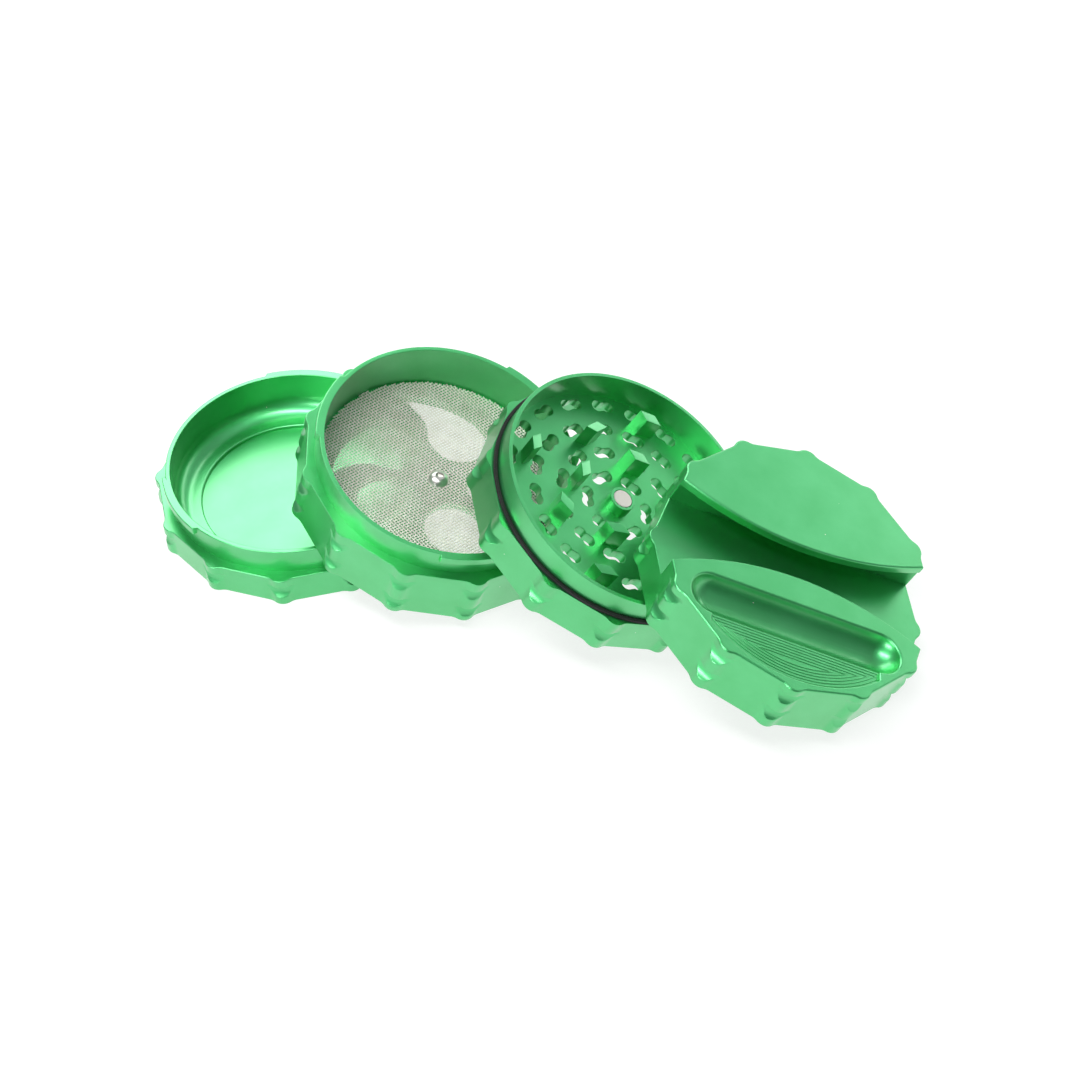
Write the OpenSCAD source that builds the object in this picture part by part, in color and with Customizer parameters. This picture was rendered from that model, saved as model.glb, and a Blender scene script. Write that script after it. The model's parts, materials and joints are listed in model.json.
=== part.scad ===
// Four-piece herb grinder with bayonet sections, shown opened and fanned out.
// The origin is the middle of the catch tray's underside, and the fan runs along +X.
// Every section is modelled standing on its own axis, then leaned on the one before it.

/* [Bore and walls] */
// Bore radius of the catch tray and the screen chamber
bore_r = 31; // [25:0.5:40]
// Wall of a spigot between its bore and its outside
spigot_wall = 1.2; // [0.8:0.1:2.5]
// How far a bayonet lug stands out from its spigot
lug_out = 0.95; // [0.5:0.05:1.5]
// Radial gap between a lug or the plate's rim and the socket around it
socket_gap = 0.15; // [0.1:0.05:0.4]
// Thinnest wall of a section, between its socket and a flat of its side
shell_wall = 0.9; // [0.6:0.1:3]

/* [Grip lobes] */
// Lobes around each section
lobe_count = 12; // [10:1:14]
// How far a lobe's tip stands out from the flats
lobe_rise = 1.8; // [1.5:0.1:3]
// Radius of a lobe's tip
lobe_r = 3; // [2.5:0.1:4]
// Radius of the hollow that blends a lobe into a flat
lobe_blend_r = 4; // [2:0.5:6]
// Radius of the cutter that scoops the grip notches
notch_r = 5; // [4:0.5:7]
// How deep a notch cuts into a lobe's tip
notch_depth = 1.4; // [0.8:0.1:1.8]
// How far the notches' flat tops lie below the tray's shoulder
tray_notch_drop = 2.5; // [1:0.1:4]
// How far each row of notches lies below the chamber's shoulder
chamber_notch_drops = [3.1, 10.5]; // [1:0.1:12]
// How far the notches lie below the plate's shoulder
plate_notch_drop = 4.4; // [2:0.1:6]
// How far each row of notches lies below the lid's front land
lid_notch_drops = [2.3, 9.2]; // [1:0.1:10]

/* [Bayonet and spigots] */
// Height of each spigot above its shoulder
spigot_h = 6.7; // [5:0.1:10]
// Gap between a spigot's top and the ceiling of the socket over it
ceiling_gap = 0.2; // [0.1:0.1:1]
// Height of a bayonet lug
lug_h = 2.2; // [1.5:0.1:3]
// Angle that one lug spans
lug_span = 34; // [20:1:45]
// Height of the inward tab that locks under a lug
tab_h = 2; // [1:0.1:2.5]
// Gap left around a closed bayonet
bayonet_gap = 0.25; // [0.15:0.05:0.4]

/* [Catch tray] */
// Height of the tray's lobed body
tray_h = 8.3; // [7:0.5:20]
// Thickness of the tray's floor
tray_floor_t = 2.2; // [1.5:0.1:3]
// Height of the low step around the floor
tray_step_h = 0.9; // [0.5:0.1:1.5]
// Width of the low step around the floor
tray_step_w = 2.2; // [1:0.1:4]
// Fillet radius at the foot of the tray's bore
tray_fillet_r = 4.5; // [2:0.5:6]

/* [Screen chamber] */
// Height of the chamber's lobed body
chamber_h = 15.5; // [12:0.1:30]
// Thickness of the windowed support under the screen
support_t = 2.4; // [1.5:0.1:4]
// Teardrop windows in the support
window_count = 5; // [5:1:8]
// Radius of the solid hub inside the windows
window_hub_r = 7.5; // [6:0.1:9]
// Width of the web between two windows
window_web = 2.4; // [1.5:0.1:4]
// Distance between a window's point and the bore
window_tip_gap = 4; // [2:0.5:6]
// Angle from a window's round end to its point
window_sweep = 43; // [20:1:50]
// Angle of the first window from a bayonet lug
window_first = 26.5; // [0:1:72]
// Thickness of the woven screen
mesh_t = 0.3; // [0.2:0.05:0.5]
// Gap between the screen's edge and the bore
mesh_gap = 0.15; // [0.1:0.05:0.5]

/* [Screen screw] */
// Thread diameter of the screw
screw_d = 3; // [2:0.5:4]
// Head diameter of the button-head screw
screw_head_d = 5.7; // [4:0.1:8]
// Height of the button head
screw_head_h = 1.65; // [1:0.05:2.5]
// Width across the flats of the hex socket
hex_af = 2; // [1.5:0.5:2.5]
// Depth of the hex socket
hex_depth = 1; // [0.6:0.1:1.2]

/* [Grinding plate] */
// Height of the plate's lobed body
plate_h = 11.1; // [10:0.1:20]
// Thickness of the perforated floor
plate_floor_t = 2.8; // [2:0.1:4]
// Wall of the plate's plain rim
plate_rim_wall = 1; // [0.8:0.1:2]
// Distance between the outermost ring of holes and the cup's wall
hole_margin = 2.9; // [2.5:0.1:5]
// Distance between two rings of holes
hole_ring_step = 7.1; // [6:0.1:9]
// Largest distance between two holes of one ring
hole_spacing = 9.25; // [7:0.05:12]
// First hole's angle in each ring, from the outermost ring inwards
hole_first_a = [10, 13, 32, 33]; // [0:1:60]
// Radius of each round end of a hole
hole_end_r = 1.55; // [0.8:0.05:1.7]
// Distance between a hole's two ends
hole_pitch = 2.8; // [2:0.1:3.4]
// Slant of a hole against its ring
hole_slant = 14; // [0:1:25]

/* [Teeth] */
// Teeth in each ring
teeth_per_ring = 4; // [3:1:4]
// Gap between the rings of plate teeth and of lid teeth that pass each other
tooth_gap = 0.55; // [0.3:0.05:1]
// Gap between the outermost lid teeth and the cup's wall
tooth_margin = 1.9; // [1:0.1:4]
// Radius of the middle of the cup, which no ring of teeth enters
tooth_core_r = 9.5; // [7:0.5:12]
// First tooth's angle in the outermost ring of plate teeth, and in the next
plate_tooth_a = [-12, 30]; // [-90:1:90]
// First tooth's angle in the outermost ring of lid teeth, and in the next
lid_tooth_a = [20, 65]; // [-90:1:90]
// Length of a tooth along its ring
tooth_l = 6.6; // [4:0.1:8]
// Width of a plate tooth across its ring
plate_tooth_w = 3.1; // [2:0.1:4]
// Width of a lid tooth across its ring
lid_tooth_w = 2.6; // [2:0.1:3.2]
// Height of a plate tooth above the floor
plate_tooth_h = 7; // [5:0.1:7.5]
// How far a tooth's cutting edge stands above its low end
tooth_rake = 1.2; // [0.5:0.1:2]

/* [Magnets and friction ring] */
// Diameter of each disc magnet
magnet_d = 4.9; // [4:0.1:6]
// Thickness of each disc magnet
magnet_t = 2; // [1.5:0.1:3]
// Radial and end gap around a magnet and a screw that a section turns on
pivot_gap = 0.06; // [0.03:0.01:0.1]
// Outside radius of the bosses that hold the magnets
boss_r = 3.3; // [3:0.1:5]
// Height of the plate's boss above its floor
plate_boss_h = 3; // [2.5:0.1:4]
// Gap between the two bosses when the grinder is closed
boss_gap = 0.5; // [0.3:0.1:1]
// Thickness of the friction ring
ring_t = 0.9; // [0.5:0.1:1.5]
// Radial gap between the friction ring and the rim it sits around
ring_gap = 0.05; // [0.02:0.01:0.1]

/* [Lid] */
// Thickness of the sunken floor above the lid's socket
lid_floor_t = 2.4; // [1.8:0.1:4]
// Height of the raised ledge above the sunken floor
ledge_rise = 8.4; // [7.5:0.1:14]
// Height of the front land above the sunken floor
land_rise = 6.1; // [5:0.1:7.3]
// Thickness of the overhanging lip of the ledge
lip_t = 2.3; // [1.5:0.1:3]
// Distance of the ledge's straight wall behind the axis
ledge_wall_y = 12.6; // [10:0.1:16]
// Distance of the middle of the lip behind the axis
lip_y = 5; // [2:0.1:10]
// Radius of the lip's curve
lip_curve_r = 75.5; // [60:0.5:100]
// Distance of the middle of the land's back edge in front of the axis
land_y = 2.9; // [0:0.1:6]
// Radius of the land's back edge
land_curve_r = 70; // [50:0.5:100]
// Radius of the round-ended trough
trough_r = 5.65; // [4:0.05:6]
// Depth of the trough below the land
trough_depth = 4.6; // [3:0.1:5]
// Wall left between the trough's ends and the flats of the side
trough_margin = 2.5; // [1.5:0.1:8]
// Distance of the trough's middle line in front of the axis
trough_y = 16.35; // [15:0.05:18]
// Depth of the ridged half-moon in front of the trough
moon_depth = 1; // [0.5:0.1:2]
// Width of land left in front of the half-moon
moon_margin = 1.8; // [1:0.1:4]

/* [Fan] */
// Overlap in plan of the chamber and the tray
chamber_overlap = 34.9; // [30:0.1:40]
// Overlap in plan of the grinding plate and the chamber
plate_overlap = 27; // [22:0.1:32]
// Overlap in plan of the lid and the grinding plate
lid_overlap = 25.6; // [22:0.1:32]
// How far the chamber sits to the left of the tray's middle line
chamber_side = 1.5; // [-5:0.1:5]
// How far the plate sits to the left of the tray's middle line
plate_side = 1.4; // [-5:0.1:5]
// How far the lid sits to the left of the tray's middle line
lid_side = -7.5; // [-15:0.1:5]
// Direction in which the chamber slopes down
chamber_heading = -1.8; // [-15:0.1:15]
// Direction in which the plate slopes down
plate_heading = 6.4; // [-15:0.1:15]
// Direction in which the lid slopes down
lid_heading = 10.4; // [-15:0.1:15]
// Turn of the tray about its own axis
tray_spin = 348.4; // [0:0.1:360]
// Turn of the chamber about its own axis
chamber_spin = 66.8; // [0:0.1:360]
// Turn of the plate about its own axis
plate_spin = 289; // [0:0.1:360]
// Turn of the lid about its own axis
lid_spin = 15.3; // [0:0.1:360]
// Gap left between a section and the rim that it leans on
lean_gap = 0.3; // [0.2:0.05:0.6]

/* [Hidden] */

$fn = 96;
wide_fn = 240;
cut = 0.5;

// Radii that follow from the bore, from the inside outwards
rim_r = bore_r + spigot_wall;
lug_r = rim_r + lug_out;
socket_r = lug_r + socket_gap;
flat_r = socket_r + shell_wall;
tip_r = flat_r + lobe_rise;
tab_r = rim_r + bayonet_gap;
plate_rim_r = socket_r - socket_gap / 2;
cup_r = plate_rim_r - plate_rim_wall;
trough_half = sqrt(pow(flat_r - trough_margin, 2) - trough_y * trough_y) - trough_r;
socket_depth = spigot_h + ceiling_gap;

// Heights that follow from the spigots
tray_top = tray_h + spigot_h;
chamber_top = chamber_h + spigot_h;
plate_top = plate_h + spigot_h;
support_top = socket_depth + support_t;
mesh_top = support_top + mesh_t;
plate_floor = socket_depth + plate_floor_t;
plate_boss_top = plate_floor + plate_boss_h;
ring_top = plate_h + ring_t;
lid_boss_foot = plate_boss_top + boss_gap - ring_top;
tab_foot = spigot_h - lug_h - bayonet_gap - tab_h;
sunk_h = socket_depth + lid_floor_t;
land_h = sunk_h + land_rise;
lid_h = sunk_h + ledge_rise;
notch_at = tip_r - notch_depth + notch_r;

// The bayonet, which all sections share
lug_count = 3;
lug_ramp = 3;
lug_root = 2;
lug_tip = 1;

// Windows: each touches the hub and leaves half a web to its neighbour's middle line
window_at = (window_hub_r - window_web / 2) / (1 - sin(180 / window_count));
window_r = window_at - window_hub_r;
window_tip_at = bore_r - window_tip_gap;

// Hole rings and tooth rings, from the outermost inwards, for as many as the cup holds. Rings of
// lid teeth and of plate teeth take turns.
hole_ring_r = [for (r = cup_r - hole_margin; r > boss_r + 2 * hole_end_r; r = r - hole_ring_step) r];
tooth_step = (plate_tooth_w + lid_tooth_w) / 2 + tooth_gap;
tooth_ring_r = [for (r = cup_r - tooth_margin - lid_tooth_w / 2; r > tooth_core_r; r = r - tooth_step) r];
lid_tooth_r = [for (i = [0:2:len(tooth_ring_r) - 1]) tooth_ring_r[i]];
plate_tooth_r = [for (i = [1:2:len(tooth_ring_r) - 1]) tooth_ring_r[i]];

// Shares of a hole's and of a tooth's own size that give them their shape
hole_waist = 0.78;
hole_wave = 0.3;
tooth_shoulder = 0.12;
tooth_lean = 0.1;

// Leaning. A section rests its lower edge on the table and its underside on the section before
// it. A pose is [middle of the underside, direction of the slope, tilt].
function turn_z(a, p) = [p.x * cos(a) - p.y * sin(a), p.x * sin(a) + p.y * cos(a), p.z];
function turn_y(a, p) = [p.x * cos(a) + p.z * sin(a), p.y, p.z * cos(a) - p.x * sin(a)];
function placed(pose, p) = pose[0] + turn_z(pose[1], turn_y(pose[2], turn_z(-pose[1], p)));

// Points of the section below that may be touched: its rim, inside and outside, and its shoulder
lean_steps = 120;
function ring_points(r, z) =
    [for (i = [0:lean_steps - 1]) [r * cos(i * 360 / lean_steps), r * sin(i * 360 / lean_steps), z]];
function touch_points(pose, inside, outside, top, shoulder) =
    [for (p = concat(ring_points(inside, top), ring_points(outside, top),
                     ring_points(tip_r, shoulder))) placed(pose, p)];

// Smallest tilt that clears each of those points that is under this section's ring
function lean_tilt(points, at, heading, tilt, tries) =
    tries == 0 ? tilt :
    lean_tilt(points, at, heading, max([for (p = points)
        let (d = turn_z(-heading, p - at), drop = tip_r * sin(tilt) - d.z,
             r = norm([d.x * cos(tilt) + drop * sin(tilt), d.y]))
        if (r > tab_r - 2 * lean_gap && r < tip_r + lean_gap)
            atan((d.z + lean_gap / cos(tilt)) / (tip_r * cos(tilt) - d.x))]), tries - 1);
function leaned(points, x, y, heading) =
    let (tilt = lean_tilt(points, [x, y, 0], heading, 20, 8))
    [[x, y, tip_r * sin(tilt)], heading, tilt];

tray_pose = [[0, 0, 0], 0, 0];
chamber_x = 2 * tip_r - chamber_overlap;
plate_x = chamber_x + 2 * tip_r - plate_overlap;
lid_x = plate_x + 2 * tip_r - lid_overlap;
chamber_pose = leaned(touch_points(tray_pose, bore_r, lug_r, tray_top, tray_h),
                      chamber_x, chamber_side, chamber_heading);
plate_pose = leaned(touch_points(chamber_pose, bore_r, lug_r, chamber_top, chamber_h),
                    plate_x, plate_side, plate_heading);
lid_pose = leaned(touch_points(plate_pose, cup_r, plate_rim_r, plate_top, plate_h),
                  lid_x, lid_side, lid_heading);

module stand(pose, spin) {
    translate(pose[0]) rotate([0, 0, pose[1]]) rotate([0, pose[2], 0]) rotate([0, 0, spin - pose[1]])
        children();
}

// Outline of a section's side: flats between rounded lobes, with hollow blends. Each blend bites a
// little into the lobe and the flat, so that the outlines cross instead of only touching.
function polar(r, a) = [r * cos(a), r * sin(a)];
half_pitch = 180 / lobe_count;
lobe_at = tip_r - lobe_r;
blend_bite = 0.01;
blend_x = flat_r + lobe_blend_r;
blend_y = sqrt(pow(lobe_r + lobe_blend_r, 2) - pow(blend_x - lobe_at * cos(half_pitch), 2))
    - lobe_at * sin(half_pitch);

module lobe_blend() {
    difference() {
        polygon([polar(lobe_at, -half_pitch), [blend_x, blend_y], [flat_r - cut, blend_y]]);
        translate([blend_x, blend_y]) circle(lobe_blend_r + blend_bite);
    }
}

module outline() {
    circle(flat_r / cos(half_pitch), $fn = lobe_count);
    for (i = [0:lobe_count - 1]) rotate(i * 2 * half_pitch) {
        translate([lobe_at, 0]) circle(lobe_r);
        rotate(half_pitch) lobe_blend();
        rotate(-half_pitch) mirror([0, 1]) lobe_blend();
    }
}

// A ring that scoops a notch out of every lobe; its flat top is at height z
module notch_ring(z) {
    rotate_extrude() intersection() {
        translate([notch_at, z]) circle(notch_r);
        translate([notch_at - notch_r, z - notch_r]) square(notch_r);
    }
}

// A sector with ramped ends, for a bayonet lug or tab centred on angle 0
module lug_sector() {
    root = rim_r - lug_root;
    tip = lug_r + lug_tip;
    polygon([polar(root, -lug_span / 2 - lug_ramp), polar(tip, -lug_span / 2), polar(tip, 0),
             polar(tip, lug_span / 2), polar(root, lug_span / 2 + lug_ramp)]);
}

module lugs(top) {
    for (i = [0:lug_count - 1]) rotate(i * 360 / lug_count)
        translate([0, 0, top - lug_h]) linear_extrude(lug_h) intersection() {
            circle(lug_r);
            lug_sector();
        }
}

module socket() {
    translate([0, 0, -cut]) cylinder(r = socket_r, h = socket_depth + cut);
}

module tabbed_socket() {
    difference() {
        socket();
        for (i = [0:lug_count - 1]) rotate(i * 360 / lug_count)
            translate([0, 0, tab_foot]) linear_extrude(tab_h) difference() {
                lug_sector();
                circle(tab_r);
            }
    }
}

// Catch tray: a shallow pan with a filleted foot and a low step around its floor
module tray_hollow() {
    step_z = tray_floor_t + tray_step_h;
    step_r = bore_r - tray_fillet_r;
    rotate_extrude() {
        translate([0, tray_floor_t]) square([step_r - tray_step_w, tray_top]);
        translate([0, step_z]) square([step_r, tray_top]);
        translate([0, step_z + tray_fillet_r]) square([bore_r, tray_top]);
        intersection() {
            translate([step_r, step_z + tray_fillet_r]) circle(tray_fillet_r);
            square([bore_r, tray_top]);
        }
    }
}

module catch_tray() {
    color("mediumseagreen") stand(tray_pose, tray_spin) difference() {
        union() {
            linear_extrude(tray_h) outline();
            cylinder(r = rim_r, h = tray_top);
            lugs(tray_top);
        }
        tray_hollow();
        notch_ring(tray_h - tray_notch_drop);
    }
}

// Screen chamber: an open barrel with a windowed support across it
function window_mid(t) =
    polar(window_at + (window_tip_at - window_at) * t, window_first + window_sweep * t);
function window_edge(t, side) =
    let (step = 0.01, v = (window_mid(t + step) - window_mid(t - step)) / (2 * step), u = v / norm(v),
         lead = window_r / norm(v), n = side * sqrt(1 - lead * lead) * [-u.y, u.x])
    window_mid(t) + window_r * (1 - t) * (lead * u + n);
window_steps = 10;

module window() {
    translate(window_mid(0)) circle(window_r);
    polygon(concat([for (i = [0:window_steps]) window_edge(i / window_steps, 1)],
                   [for (i = [window_steps - 1:-1:0]) window_edge(i / window_steps, -1)]));
}

module screen_chamber() {
    color("mediumseagreen") stand(chamber_pose, chamber_spin) difference() {
        union() {
            linear_extrude(chamber_h) outline();
            cylinder(r = rim_r, h = chamber_top);
            lugs(chamber_top);
        }
        tabbed_socket();
        translate([0, 0, support_top]) cylinder(r = bore_r, h = chamber_top);
        translate([0, 0, socket_depth - cut]) {
            cylinder(d = screw_d + 2 * pivot_gap, h = support_t + 2 * cut);
            linear_extrude(support_t + 2 * cut)
                for (i = [0:window_count - 1]) rotate(i * 360 / window_count) window();
        }
        for (drop = chamber_notch_drops) notch_ring(chamber_h - drop);
    }
}

// The woven screen, as a plain disc of the same size
module screen_mesh() {
    color("tan") stand(chamber_pose, chamber_spin) difference() {
        translate([0, 0, support_top]) cylinder(r = bore_r - mesh_gap, h = mesh_t);
        translate([0, 0, support_top - cut]) cylinder(d = screw_d + 2 * pivot_gap, h = 2 * cut + mesh_t);
    }
}

// Button-head screw that holds the screen down; the chamber turns on it
module screen_screw() {
    seat = mesh_top + pivot_gap;
    dome_r = (pow(screw_head_d / 2, 2) + pow(screw_head_h, 2)) / (2 * screw_head_h);
    color("silver") stand(chamber_pose, 0) difference() {
        union() {
            translate([0, 0, socket_depth + pivot_gap]) cylinder(d = screw_d, h = seat - socket_depth);
            intersection() {
                translate([0, 0, seat]) cylinder(d = screw_head_d, h = screw_head_h);
                translate([0, 0, seat + screw_head_h - dome_r]) sphere(dome_r);
            }
        }
        translate([0, 0, seat + screw_head_h - hex_depth])
            cylinder(d = hex_af / cos(30), h = hex_depth + cut, $fn = 6);
    }
}

// A tooth: a skewed diamond post, length l along Y and width w along X, with a raked top
module tooth(l, w, h) {
    side = [w / 2, -l * tooth_shoulder];
    tip = [w * tooth_lean, l / 2];
    intersection() {
        linear_extrude(h) polygon([side, tip, -side, -tip]);
        rotate([90, 0, 90]) translate([0, 0, -w])
            linear_extrude(2 * w) polygon([[-l, 0], [l, 0], [l, h], [-l / 2, h - tooth_rake]]);
    }
}

module tooth_rings(radii, first, w, h) {
    for (i = [0:len(radii) - 1], j = [0:teeth_per_ring - 1])
        rotate(first[i % 2] + j * 360 / teeth_per_ring) translate([radii[i], 0, 0])
            tooth(tooth_l, w, h);
}

// A floor hole: two round ends and a waist, a little slanted across its ring
module floor_hole() {
    rotate(hole_slant) {
        for (side = [-1, 1]) translate([side * hole_wave, side * hole_pitch / 2]) circle(hole_end_r);
        square([2 * hole_end_r * hole_waist, hole_pitch], center = true);
    }
}

module hole_rings() {
    for (i = [0:len(hole_ring_r) - 1]) {
        count = ceil(2 * PI * hole_ring_r[i] / hole_spacing);
        for (j = [0:count - 1]) rotate(hole_first_a[i % len(hole_first_a)] + j * 360 / count)
            translate([hole_ring_r[i], 0]) floor_hole();
    }
}

module grinding_plate() {
    color("mediumseagreen") stand(plate_pose, plate_spin) {
        difference() {
            union() {
                linear_extrude(plate_h) outline();
                cylinder(r = plate_rim_r, h = plate_top);
            }
            tabbed_socket();
            translate([0, 0, plate_floor]) cylinder(r = cup_r, h = plate_top);
            translate([0, 0, socket_depth - cut]) linear_extrude(plate_floor_t + 2 * cut) hole_rings();
            notch_ring(plate_h - plate_notch_drop);
        }
        translate([0, 0, plate_floor - cut]) {
            tooth_rings(plate_tooth_r, plate_tooth_a, plate_tooth_w, plate_tooth_h + cut);
            difference() {
                cylinder(r = boss_r, h = plate_boss_h + cut);
                translate([0, 0, plate_boss_h + cut - magnet_t - pivot_gap])
                    cylinder(d = magnet_d + 2 * pivot_gap, h = magnet_t + cut);
            }
        }
    }
}

module plate_magnet() {
    color("lightgray") stand(plate_pose, 0)
        translate([0, 0, plate_boss_top - magnet_t]) cylinder(d = magnet_d, h = magnet_t);
}

// Flat ring that lies on the plate's shoulder, where the lid slides on it
module friction_ring() {
    color("black") stand(plate_pose, plate_spin) translate([0, 0, plate_h]) difference() {
        cylinder(r = flat_r - ring_gap, h = ring_t);
        translate([0, 0, -cut]) cylinder(r = plate_rim_r + ring_gap, h = ring_t + 2 * cut);
    }
}

// Lid: ledge at the back with an overhanging lip, sunken floor, and front land with a trough
module behind(y) {
    translate([-2 * tip_r, y]) square([4 * tip_r, 2 * tip_r]);
}

module lid_block() {
    linear_extrude(sunk_h) outline();
    linear_extrude(land_h) intersection() {
        outline();
        translate([0, -land_y - land_curve_r]) circle(land_curve_r, $fn = wide_fn);
    }
    linear_extrude(lid_h) intersection() {
        outline();
        behind(ledge_wall_y);
    }
    translate([0, 0, lid_h - lip_t]) linear_extrude(lip_t) intersection() {
        outline();
        translate([0, lip_y + lip_curve_r]) circle(lip_curve_r, $fn = wide_fn);
    }
}

module trough() {
    translate([0, -trough_y, land_h - trough_depth + trough_r]) {
        for (side = [-1, 1]) translate([side * trough_half, 0, 0]) sphere(trough_r);
        rotate([0, 90, 0]) cylinder(r = trough_r, h = 2 * trough_half, center = true);
    }
}

module half_moon() {
    translate([0, 0, land_h - moon_depth]) linear_extrude(moon_depth + cut) difference() {
        circle(flat_r - moon_margin);
        behind(-trough_y);
        for (side = [-1, 1]) translate([side * (trough_half + tip_r), 0]) square(2 * tip_r, center = true);
    }
}

module lid() {
    color("mediumseagreen") stand(lid_pose, lid_spin) {
        difference() {
            lid_block();
            socket();
            trough();
            half_moon();
            for (drop = lid_notch_drops) notch_ring(land_h - drop);
        }
        translate([0, 0, socket_depth + cut]) mirror([0, 0, 1]) {
            tooth_rings(lid_tooth_r, lid_tooth_a, lid_tooth_w, socket_depth + cut - lid_boss_foot / 2);
            difference() {
                cylinder(r = boss_r, h = socket_depth + cut - lid_boss_foot);
                translate([0, 0, socket_depth + cut - lid_boss_foot - magnet_t - pivot_gap])
                    cylinder(d = magnet_d + 2 * pivot_gap, h = magnet_t + cut);
            }
        }
    }
}

module lid_magnet() {
    color("lightgray") stand(lid_pose, 0)
        translate([0, 0, lid_boss_foot]) cylinder(d = magnet_d, h = magnet_t);
}

catch_tray();
screen_chamber();
screen_mesh();
screen_screw();
grinding_plate();
plate_magnet();
friction_ring();
lid();
lid_magnet();
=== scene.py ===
"""A four-piece herb grinder of green anodised aluminium, opened and fanned out on a table.

The sections are turned and milled from solid bar, bead-blasted and dyed, so each is one piece with
broken edges. The screen is really woven, and the fine ridges in the lid's half-moon stand up.
All lengths below are in millimetres, and mm() turns them into the scene's metres.
"""

import json
import math

import bmesh
import bpy
from mathutils import Matrix, Vector


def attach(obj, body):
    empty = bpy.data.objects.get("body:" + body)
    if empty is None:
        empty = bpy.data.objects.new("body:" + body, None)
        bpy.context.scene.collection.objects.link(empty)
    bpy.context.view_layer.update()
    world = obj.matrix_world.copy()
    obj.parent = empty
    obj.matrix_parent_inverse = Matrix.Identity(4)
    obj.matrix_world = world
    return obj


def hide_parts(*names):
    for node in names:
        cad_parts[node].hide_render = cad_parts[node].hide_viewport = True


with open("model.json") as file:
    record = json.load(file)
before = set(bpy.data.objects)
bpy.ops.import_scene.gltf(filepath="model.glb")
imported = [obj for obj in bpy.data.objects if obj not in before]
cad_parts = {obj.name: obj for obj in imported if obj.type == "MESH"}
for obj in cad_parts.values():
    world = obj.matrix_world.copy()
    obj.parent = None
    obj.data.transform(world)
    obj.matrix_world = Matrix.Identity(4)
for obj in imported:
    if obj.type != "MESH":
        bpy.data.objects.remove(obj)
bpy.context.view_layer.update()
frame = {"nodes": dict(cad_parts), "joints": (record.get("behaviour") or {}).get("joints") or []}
joints = {joint["name"]: joint for joint in frame["joints"]}


def mm(*lengths):
    """Millimetres as metres: one number, or a tuple of them."""
    metres = tuple(length / 1000 for length in lengths)
    return metres if len(metres) > 1 else metres[0]


# ---------------------------------------------------------------- materials

# Specks of dust: the cell that may hold one, its radius, and the share of cells left clean
DUST_PITCH, DUST_RADIUS, DUST_CLEAN = 3.0, 0.12, 0.8


def hex_colour(code):
    """An sRGB hex colour as the linear colour that a shader takes."""
    linear = []
    for start in (1, 3, 5):
        value = int(code[start:start + 2], 16) / 255
        linear.append(value / 12.92 if value <= 0.04045 else ((value + 0.055) / 1.055) ** 2.4)
    return (*linear, 1.0)


def add_node(tree, kind, settings=None, **links):
    """Adds a node with its settings; a link is an input's name and an output socket or a value."""
    node = tree.nodes.new(kind)
    for name, value in (settings or {}).items():
        setattr(node, name, value)
    for name, value in links.items():
        socket = node.inputs[int(name[1:])] if name[0] == "_" else node.inputs[name.replace("_", " ")]
        if isinstance(value, bpy.types.NodeSocket):
            tree.links.new(value, socket)
        else:
            socket.default_value = value
    return node


def new_material(name):
    """A new material, with its node tree, its shader, and the object coordinates."""
    material = bpy.data.materials.new(name)
    material.use_nodes = True
    tree = material.node_tree
    place = add_node(tree, "ShaderNodeTexCoord").outputs["Object"]
    return material, tree, tree.nodes["Principled BSDF"], place


def grain(tree, place, size, detail=2.0):
    """Noise whose grains are size millimetres across."""
    return add_node(tree, "ShaderNodeTexNoise", Vector=place, Scale=1000 / size, Detail=detail)


def ramp(tree, factor, low, high, start=0.3, end=0.7):
    """A blend from low to high as factor goes from start to end."""
    node = add_node(tree, "ShaderNodeValToRGB", Fac=factor)
    node.color_ramp.elements[0].position = start
    node.color_ramp.elements[1].position = end
    node.color_ramp.elements[0].color = low
    node.color_ramp.elements[1].color = high
    return node.outputs["Color"]


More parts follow.
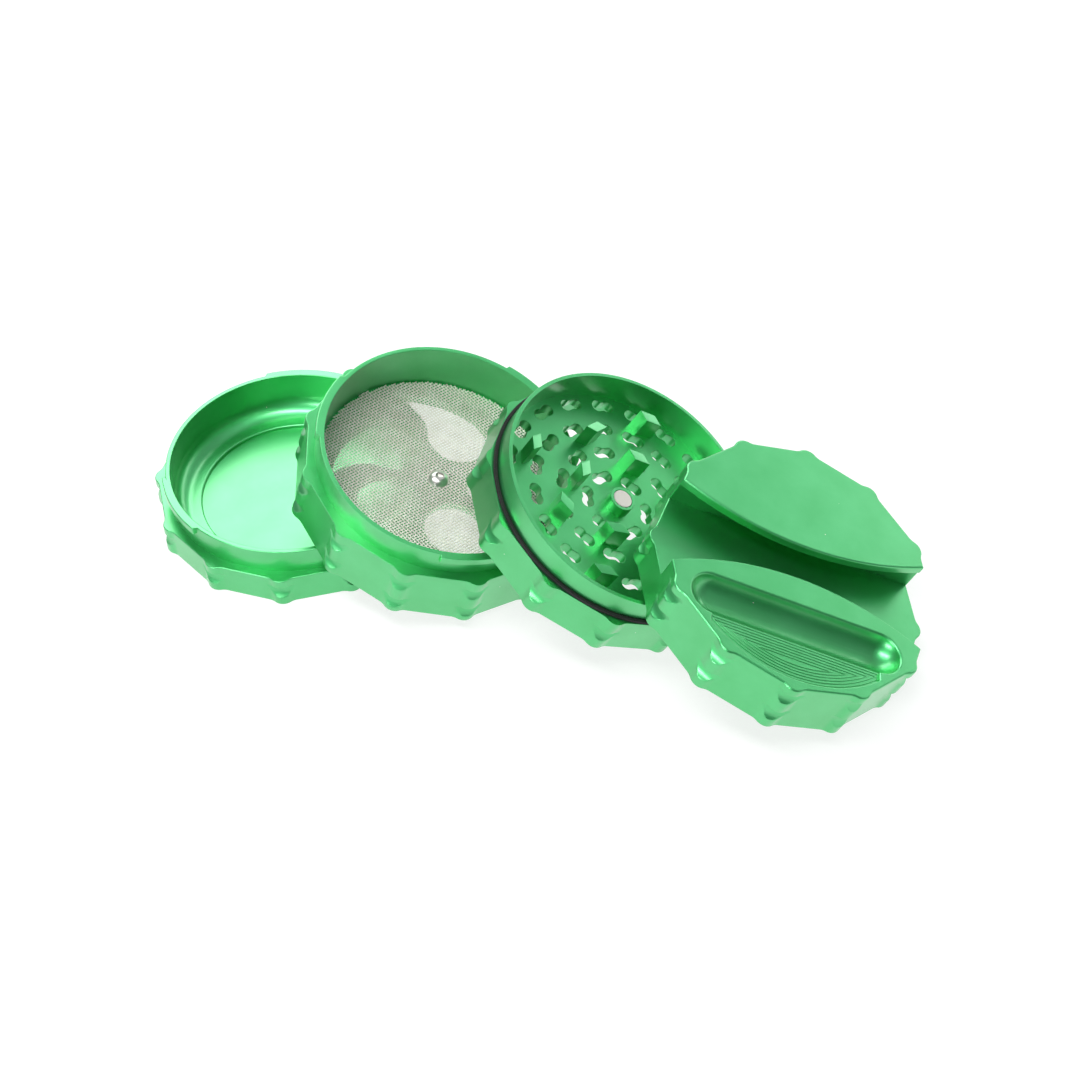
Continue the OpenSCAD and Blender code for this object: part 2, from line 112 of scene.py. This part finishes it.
def anodised_aluminium():
    """Bead-blasted aluminium with a green dyed oxide: satin, with broad soft highlights that go
    pale, because the clear oxide over the dye reflects too. The blast's pits are about 0.05 mm,
    and are drawn 0.3 mm across so that they show. A few specks of dust lie on it."""
    material, tree, shader, place = new_material("bead_blasted_anodised_aluminium")
    cloud = grain(tree, place, 9.0, 3.0).outputs["Fac"]
    dyed = ramp(tree, cloud, hex_colour("#44BF6E"), hex_colour("#4FC779"))
    speck = add_node(tree, "ShaderNodeTexVoronoi", Vector=place, Scale=1000 / DUST_PITCH)
    few = add_node(
        tree, "ShaderNodeMath", {"operation": "GREATER_THAN"}, _0=speck.outputs["Color"], _1=DUST_CLEAN
    )
    near = add_node(
        tree, "ShaderNodeMath", {"operation": "LESS_THAN"},
        _0=speck.outputs["Distance"], _1=DUST_RADIUS / DUST_PITCH,
    )
    dust = add_node(
        tree, "ShaderNodeMath", {"operation": "MULTIPLY"}, _0=few.outputs[0], _1=near.outputs[0]
    ).outputs[0]
    colour = add_node(
        tree, "ShaderNodeMix", {"data_type": "RGBA"}, _0=dust, _6=dyed, _7=hex_colour("#DCE8DC")
    ).outputs[2]
    pits = grain(tree, place, 0.3).outputs["Fac"]
    rough = add_node(tree, "ShaderNodeMapRange", Value=pits, To_Min=0.38, To_Max=0.46)
    bump = add_node(tree, "ShaderNodeBump", Height=pits, Strength=0.12, Distance=mm(0.05))
    metal = add_node(tree, "ShaderNodeMath", {"operation": "SUBTRACT"}, _0=1.0, _1=dust)
    tree.links.new(colour, shader.inputs["Base Color"])
    tree.links.new(metal.outputs[0], shader.inputs["Metallic"])
    tree.links.new(rough.outputs["Result"], shader.inputs["Roughness"])
    tree.links.new(bump.outputs["Normal"], shader.inputs["Normal"])
    shader.inputs["Coat Weight"].default_value = 0.8
    shader.inputs["Coat Roughness"].default_value = 0.24
    shader.inputs["Coat IOR"].default_value = 1.77
    return material


def stainless_wire():
    """Drawn 304 stainless wire: warm grey, half dull from weaving and handling."""
    material, tree, shader, place = new_material("stainless_steel_wire")
    tone = grain(tree, place, 2.5).outputs["Fac"]
    colour = ramp(tree, tone, hex_colour("#EDEBE2"), hex_colour("#F8F6F0"))
    tree.links.new(colour, shader.inputs["Base Color"])
    shader.inputs["Metallic"].default_value = 1.0
    shader.inputs["Roughness"].default_value = 0.6
    return material


def polished_stainless():
    """Cold-headed and tumbled stainless screw: bright, with faint turning marks."""
    material, tree, shader, place = new_material("polished_stainless_steel")
    marks = grain(tree, place, 0.4).outputs["Fac"]
    rough = add_node(tree, "ShaderNodeMapRange", Value=marks, To_Min=0.26, To_Max=0.36)
    tree.links.new(rough.outputs["Result"], shader.inputs["Roughness"])
    shader.inputs["Base Color"].default_value = hex_colour("#D9D7D2")
    shader.inputs["Metallic"].default_value = 1.0
    return material


def nickel_plate():
    """Nickel plate on a sintered magnet: pale, a little cloudy."""
    material, tree, shader, place = new_material("nickel_plate")
    cloud = grain(tree, place, 0.8).outputs["Fac"]
    rough = add_node(tree, "ShaderNodeMapRange", Value=cloud, To_Min=0.30, To_Max=0.45)
    tree.links.new(rough.outputs["Result"], shader.inputs["Roughness"])
    shader.inputs["Base Color"].default_value = hex_colour("#DAD6CE")
    shader.inputs["Metallic"].default_value = 1.0
    return material


def black_rubber():
    """Matt black nitrile rubber, cut from sheet, with dust in its grain."""
    material, tree, shader, place = new_material("nitrile_rubber")
    dust = grain(tree, place, 0.35, 4.0).outputs["Fac"]
    colour = ramp(tree, dust, hex_colour("#0B0C0B"), hex_colour("#20231F"), 0.45, 0.75)
    bump = add_node(tree, "ShaderNodeBump", Height=dust, Strength=0.5, Distance=mm(0.1))
    tree.links.new(colour, shader.inputs["Base Color"])
    tree.links.new(bump.outputs["Normal"], shader.inputs["Normal"])
    shader.inputs["Roughness"].default_value = 0.82
    shader.inputs["IOR"].default_value = 1.52
    return material


# ---------------------------------------------------------------- modelling helpers


def deselect_all():
    for thing in bpy.context.selected_objects:
        thing.select_set(False)
    bpy.context.view_layer.objects.active = None


def choose(piece):
    """Makes piece the only selected object and the active one."""
    deselect_all()
    piece.select_set(True)
    bpy.context.view_layer.objects.active = piece


def edit(piece):
    choose(piece)
    bpy.ops.object.mode_set(mode="EDIT")
    bpy.ops.mesh.select_all(action="SELECT")


def done():
    bpy.ops.object.mode_set(mode="OBJECT")


def finish_piece(piece, material, body, smooth_below=35):
    """Gives a finished piece its material and its body, and smooths its round faces."""
    piece.data.materials.clear()
    piece.data.materials.append(material)
    choose(piece)
    bpy.ops.object.shade_smooth_by_angle(angle=math.radians(smooth_below))
    flat_faces = piece.modifiers.new("flat_faces_stay_flat", "WEIGHTED_NORMAL")
    flat_faces.keep_sharp = True
    bpy.ops.object.modifier_apply(modifier=flat_faces.name)
    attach(piece, body)
    return piece


def section_place(joint, spin):
    """Where a section stands: at its hinge's point, tilted along its axis, and turned by spin."""
    axis = Vector(joints[joint]["axis"]).normalized()
    heading, tilt = math.atan2(axis.y, axis.x), math.acos(axis.z)
    turns = ((heading, "Z"), (tilt, "Y"), (math.radians(spin) - heading, "Z"))
    place = Matrix.Translation(joints[joint]["pos_m"])
    for angle, about in turns:
        place = place @ Matrix.Rotation(angle, 4, about)
    return place


# A CAD copy's points are welded below WELD millimetres and its flat faces joined below FLAT
# degrees; an outer edge sharper than SHARP degrees is rounded
WELD, FLAT, SHARP = 0.002, 0.5, 30


def broken_edges(node, name, width, segments=2, rolled=None, rolled_width=0.0):
    """A copy of a CAD node, which stands for it, with each outer edge rounded off.

    Where rolled(edge) is true, the edge is rounded to rolled_width instead.
    """
    piece = bpy.data.objects.new(name, frame["nodes"][node].data.copy())
    bpy.context.scene.collection.objects.link(piece)
    edit(piece)
    bpy.ops.mesh.customdata_custom_splitnormals_clear()
    bpy.ops.mesh.remove_doubles(threshold=mm(WELD))
    bpy.ops.mesh.dissolve_limited(angle_limit=math.radians(FLAT))
    done()
    mesh = bmesh.new()
    mesh.from_mesh(piece.data)
    weight = mesh.edges.layers.float.new("bevel_weight_edge")
    widest = max(width, rolled_width)
    for edge in mesh.edges:
        if edge.is_convex and edge.calc_face_angle(0) > math.radians(SHARP):
            edge[weight] = (rolled_width if rolled and rolled(edge) else width) / widest
    mesh.to_mesh(piece.data)
    mesh.free()
    bevel = piece.modifiers.new("broken_edges", "BEVEL")
    bevel.limit_method = "WEIGHT"
    bevel.width = mm(widest)
    bevel.segments = segments
    bevel.use_clamp_overlap = False
    choose(piece)
    bpy.ops.object.modifier_apply(modifier=bevel.name)
    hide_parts(node)
    return piece


def new_piece(name, points, faces):
    mesh = bpy.data.meshes.new(name)
    mesh.from_pydata(points, [], faces)
    piece = bpy.data.objects.new(name, mesh)
    bpy.context.scene.collection.objects.link(piece)
    return piece


# ---------------------------------------------------------------- pieces

green = anodised_aluminium()
wire_steel = stainless_wire()
screw_steel = polished_stainless()
nickel = nickel_plate()
rubber = black_rubber()


# The low step around the tray's floor: its top, and radii inside and outside it
TRAY_STEP_H, TRAY_STEP_R = 3.1, (20, 27)

# How far an edge may lie from the face that it is looked for on
NEAR = 0.02

# The lid in its own frame: its turn, its top faces, its trough and the half-moon in front of it
LID_SPIN = 15.3
LAND_H, TOP_H, MOON_H = 15.4, 17.7, 14.4
RIM_INNER_R = 33.8
TROUGH_Y, TROUGH_R, TROUGH_HALF = -16.35, 5.65, 21.51
MOON_R, MOON_BACK_Y = 32.4, -21.6
RIDGE_PITCH, RIDGE_R, RIDGE_COUNT = 0.8, 0.13, 7
RIDGE_SIDES, RIDGE_STEPS = 8, 48

# The woven screen in the chamber's frame
SCREEN_H, SCREEN_R, SCREEN_HOLE_R = 9.3, 30.8, 1.8
WIRE_PITCH, WIRE_R = 0.75, 0.19
CHAMBER_SPIN = 66.8
WEAVE_TURN = -95


def lid_edge_is_rolled(edge):
    """True for the edges of the lid's top, its front land's rim and its trough's mouth."""
    to_lid = section_place("lid_turn", LID_SPIN).inverted()
    ends = [to_lid @ vertex.co * 1000 for vertex in edge.verts]
    if all(abs(end.z - TOP_H) < NEAR for end in ends):
        return True
    if not all(abs(end.z - LAND_H) < NEAR for end in ends):
        return False
    middle = (ends[0] + ends[1]) / 2
    past_trough = max(abs(middle.x) - TROUGH_HALF, 0)
    in_mouth = math.hypot(past_trough, middle.y - TROUGH_Y) < TROUGH_R + 0.2
    return in_mouth or middle.y < TROUGH_Y or math.hypot(middle.x, middle.y) > RIM_INNER_R


def tray_edge_is_rolled(edge):
    """True for the step around the tray's floor, which is inside the bore and below its foot."""
    low, high = TRAY_STEP_R
    ends = [vertex.co * 1000 for vertex in edge.verts]
    return all(end.z < TRAY_STEP_H + 0.1 and low < math.hypot(end.x, end.y) < high for end in ends)


def make_sections():
    for node, body, width, rolled in (
        ("catch_tray", "tray", 0.25, tray_edge_is_rolled),
        ("screen_chamber", "chamber", 0.25, None),
        ("grinding_plate", "plate", 0.15, None),
        ("lid", "lid", 0.22, lid_edge_is_rolled),
    ):
        shell = broken_edges(node, f"{node}_shell", width, 2 if rolled is None else 3, rolled, 0.5)
        finish_piece(shell, green, body)


def make_small_pieces():
    for node, body, width, material, slot in (
        ("screen_screw", "chamber_axis", 0.12, screw_steel, "screw_steel"),
        ("plate_magnet", "plate_axis", 0.2, nickel, "magnet_nickel"),
        ("lid_magnet", "lid_axis", 0.2, nickel, "magnet_nickel"),
        ("friction_ring", "plate", 0.25, rubber, "ring_rubber"),
    ):
        finish_piece(broken_edges(node, f"{node}_detail", width), material, body)


def tube(points, faces, centres, across, radius):
    """Adds a closed four-sided wire along centres; across is a unit vector square to its run."""
    first = len(points)
    up = Vector((0, 0, 1))
    for centre in centres:
        points += [centre + side * radius for side in (across, up, -across, -up)]
    for ring in range(len(centres) - 1):
        low = first + 4 * ring
        faces += [(low + k, low + (k + 1) % 4, low + 4 + (k + 1) % 4, low + 4 + k) for k in range(4)]
    last = first + 4 * (len(centres) - 1)
    faces += [(first + 3, first + 2, first + 1, first), (last, last + 1, last + 2, last + 3)]


def make_screen():
    """Plain weave: each wire goes over and under its neighbours. The real screen's pitch is finer
    than this one, which is as fine as its triangles allow."""
    points, faces = [], []
    lines = int(SCREEN_R / WIRE_PITCH)
    for run, across, phase in (
        (Vector((1, 0, 0)), Vector((0, 1, 0)), 0),
        (Vector((0, -1, 0)), Vector((1, 0, 0)), 1),
    ):
        for line in range(-lines, lines + 1):
            offset = line * WIRE_PITCH
            reach = math.sqrt(SCREEN_R ** 2 - offset ** 2)
            inner = math.sqrt(max(SCREEN_HOLE_R ** 2 - offset ** 2, 0))
            for low, high in ([(-reach, -inner), (inner, reach)] if inner else [(-reach, reach)]):
                steps = range(math.ceil(low / WIRE_PITCH * 2), math.floor(high / WIRE_PITCH * 2) + 1)
                if len(steps) < 2:
                    continue
                centres = []
                for step in steps:
                    wave = math.cos(math.pi * (step / 2 + line + phase))
                    height = SCREEN_H + WIRE_R * (2 + wave)
                    centre = run * step * WIRE_PITCH / 2 + across * offset
                    centres.append(centre + Vector((0, 0, height)))
                tube(points, faces, centres, across, WIRE_R)
    place = section_place("chamber_turn", CHAMBER_SPIN + WEAVE_TURN) @ Matrix.Scale(0.001, 4)
    piece = new_piece("screen_weave", [place @ point for point in points], faces)
    finish_piece(piece, wire_steel, "chamber", 180)
    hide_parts("screen_mesh")


def bead(points, faces, path):
    """Adds a closed round bead along path, mitred at its corners."""
    first, count, sides = len(points), len(path), RIDGE_SIDES
    for index, centre in enumerate(path):
        before = (centre - path[index - 1]).normalized()
        after = (path[(index + 1) % count] - centre).normalized()
        out = (before + after).normalized().cross(Vector((0, 0, 1)))
        stretch = min(1 / max(abs(out.dot(before.cross(Vector((0, 0, 1))))), 0.2), 5)
        for side in range(sides):
            angle = 2 * math.pi * side / sides
            offset = out * (math.cos(angle) * RIDGE_R * stretch)
            points.append(centre + offset + Vector((0, 0, math.sin(angle) * RIDGE_R)))
    for index in range(count):
        low, high = first + index * sides, first + (index + 1) % count * sides
        faces += [
            (low + k, low + (k + 1) % sides, high + (k + 1) % sides, high + k) for k in range(sides)
        ]


def make_ridges():
    """Nested D-shaped beads that follow the half-moon's straight back and its round front."""
    points, faces = [], []
    for ridge in range(RIDGE_COUNT):
        inset = (ridge + 0.75) * RIDGE_PITCH
        radius, back = MOON_R - inset, MOON_BACK_Y - inset
        if radius + back < 0.3:
            break
        half = math.acos(-back / radius)
        path = []
        for step in range(RIDGE_STEPS + 1):
            angle = -math.pi / 2 + half * (2 * step / RIDGE_STEPS - 1)
            path.append(Vector((radius * math.cos(angle), radius * math.sin(angle), MOON_H)))
        bead(points, faces, path)
    place = section_place("lid_turn", LID_SPIN) @ Matrix.Scale(0.001, 4)
    piece = new_piece("lid_ridges", [place @ point for point in points], faces)
    finish_piece(piece, green, "lid", 60)


# ---------------------------------------------------------------- floor, light, camera


def make_stage():
    """A white acrylic table, lit a little from within, which keeps the shadows pale."""
    deselect_all()
    bpy.ops.mesh.primitive_plane_add(size=6, location=(0, 0, mm(-0.05)))
    floor = bpy.context.active_object
    floor.name = "floor"
    material, _, shader, _ = new_material("white_acrylic")
    shader.inputs["Base Color"].default_value = hex_colour("#8C8C8C")
    shader.inputs["Roughness"].default_value = 0.9
    shader.inputs["Emission Color"].default_value = (1, 1, 1, 1)
    shader.inputs["Emission Strength"].default_value = 0.78
    floor.data.materials.append(material)


def soft_light(name, place, aim, width, depth, power):
    light = bpy.data.lights.new(name, "AREA")
    light.shape = "RECTANGLE"
    light.size, light.size_y = width, depth
    light.energy = power
    lamp = bpy.data.objects.new(name, light)
    lamp.location = place
    lamp.rotation_euler = (Vector(aim) - Vector(place)).to_track_quat("-Z", "Y").to_euler()
    bpy.context.scene.collection.objects.link(lamp)


def make_light():
    """A pale room that is darker in front than behind, and two large soft lights behind."""
    world = bpy.data.worlds.new("studio")
    world.use_nodes = True
    tree = world.node_tree
    side = add_node(tree, "ShaderNodeTexCoord").outputs["Generated"]
    depth = add_node(tree, "ShaderNodeSeparateXYZ", Vector=side).outputs["Y"]
    share = add_node(tree, "ShaderNodeMapRange", Value=depth, From_Min=-1.0, From_Max=1.0)
    tone = ramp(tree, share.outputs["Result"], (0.05, 0.06, 0.06, 1), (0.50, 0.52, 0.53, 1), 0.2, 0.85)
    tree.links.new(tone, tree.nodes["Background"].inputs["Color"])
    bpy.context.scene.world = world
    middle = (0.065, 0.0, 0.0)
    soft_light("key", (-0.45, 0.75, 0.85), middle, 0.9, 0.7, 7.5)
    soft_light("low_back", (0.5, 1.1, 0.42), middle, 1.2, 0.2, 2.5)
    soft_light("top", (0.0, -0.35, 1.0), middle, 0.9, 0.2, 8)
    soft_light("front", (-0.25, -1.1, 0.5), middle, 0.7, 0.25, 7)
    bpy.context.scene.view_settings.view_transform = "Standard"


def make_camera():
    """Looks down at the fan from the right of its front."""
    azimuth, elevation, roll = (math.radians(angle) for angle in (21.9, 47.3, -2.0))
    target, distance = Vector(mm(64.2, 7.3, 0)), mm(612.6)
    back = Vector((
        math.sin(azimuth) * math.cos(elevation),
        -math.cos(azimuth) * math.cos(elevation),
        math.sin(elevation),
    ))
    camera = bpy.data.objects.new("camera", bpy.data.cameras.new("camera"))
    camera.data.sensor_width = 36
    camera.data.lens = 80.4
    turn = (-back).to_track_quat("-Z", "Y").to_matrix() @ Matrix.Rotation(roll, 3, "Z")
    camera.matrix_world = Matrix.Translation(target + back * distance) @ turn.to_4x4()
    bpy.context.scene.collection.objects.link(camera)
    bpy.context.scene.camera = camera


make_camera()
make_stage()
make_light()
make_sections()
make_small_pieces()
make_screen()
make_ridges()
deselect_all()
